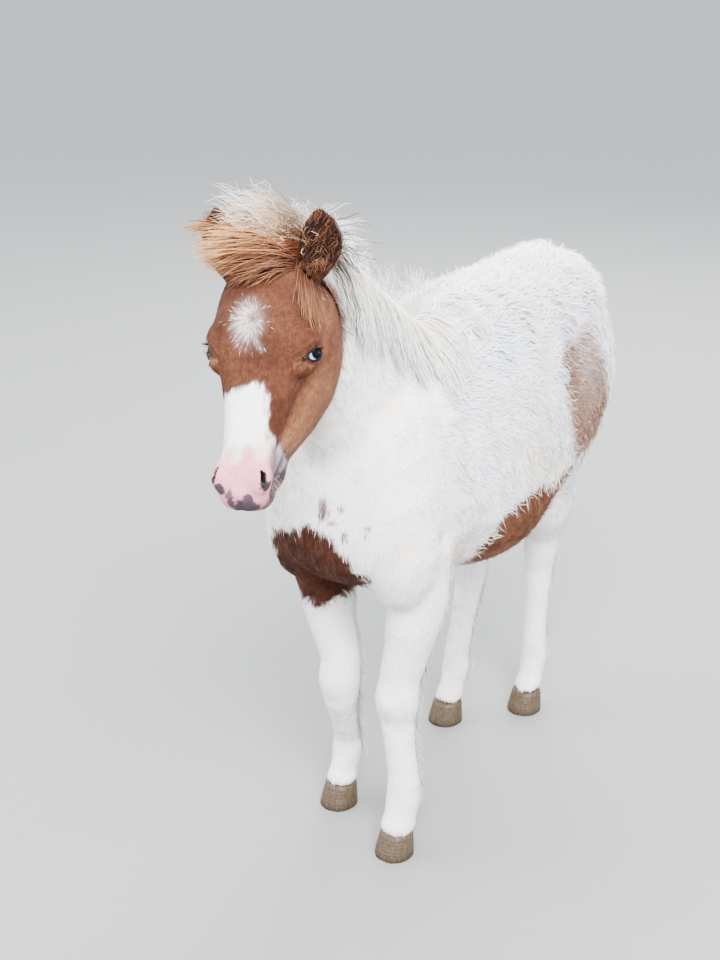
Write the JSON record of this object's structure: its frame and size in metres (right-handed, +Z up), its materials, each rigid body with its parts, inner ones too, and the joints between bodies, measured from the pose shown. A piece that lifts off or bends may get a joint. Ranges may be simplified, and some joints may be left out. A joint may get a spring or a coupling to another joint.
{
  "type": "shetland pony foal",
  "caption": "Standing skewbald pony foal, life size and still, with its head turned to its left, windblown mane and forelock, and a short bushy tail.",
  "frame": {"origin": "on the floor, under the middle of the bounding box", "axes": "+Z up, -Y the way the body faces, +X to the animal's left"},
  "size_m": [0.268, 0.924, 0.9122],
  "materials": {
    "white_coat": "woolly white foal coat with chestnut patches",
    "chestnut_coat": "short chestnut fur with a white blaze",
    "mane_hair": "long wavy cream hair",
    "forelock_hair": "long light chestnut hair",
    "hoof_horn": "satin horn",
    "eye": "wet and glossy"
  },
  "bodies": {
    "root": {"left_fore_forearm": "white_coat", "left_fore_cannon": "white_coat", "left_fore_hoof": "hoof_horn", "right_fore_forearm": "white_coat", "right_fore_cannon": "white_coat", "right_fore_hoof": "hoof_horn", "left_hind_gaskin": "white_coat", "left_hind_cannon": "white_coat", "left_hind_hoof": "hoof_horn", "right_hind_gaskin": "white_coat", "right_hind_cannon": "white_coat", "right_hind_hoof": "hoof_horn", "torso": "white_coat", "neck": "white_coat", "head": "chestnut_coat", "left_eye": "eye", "left_ear": "chestnut_coat", "right_eye": "eye", "right_ear": "chestnut_coat", "mane": "mane_hair", "forelock": "forelock_hair", "tail": "mane_hair"}
  },
  "joints": []
}
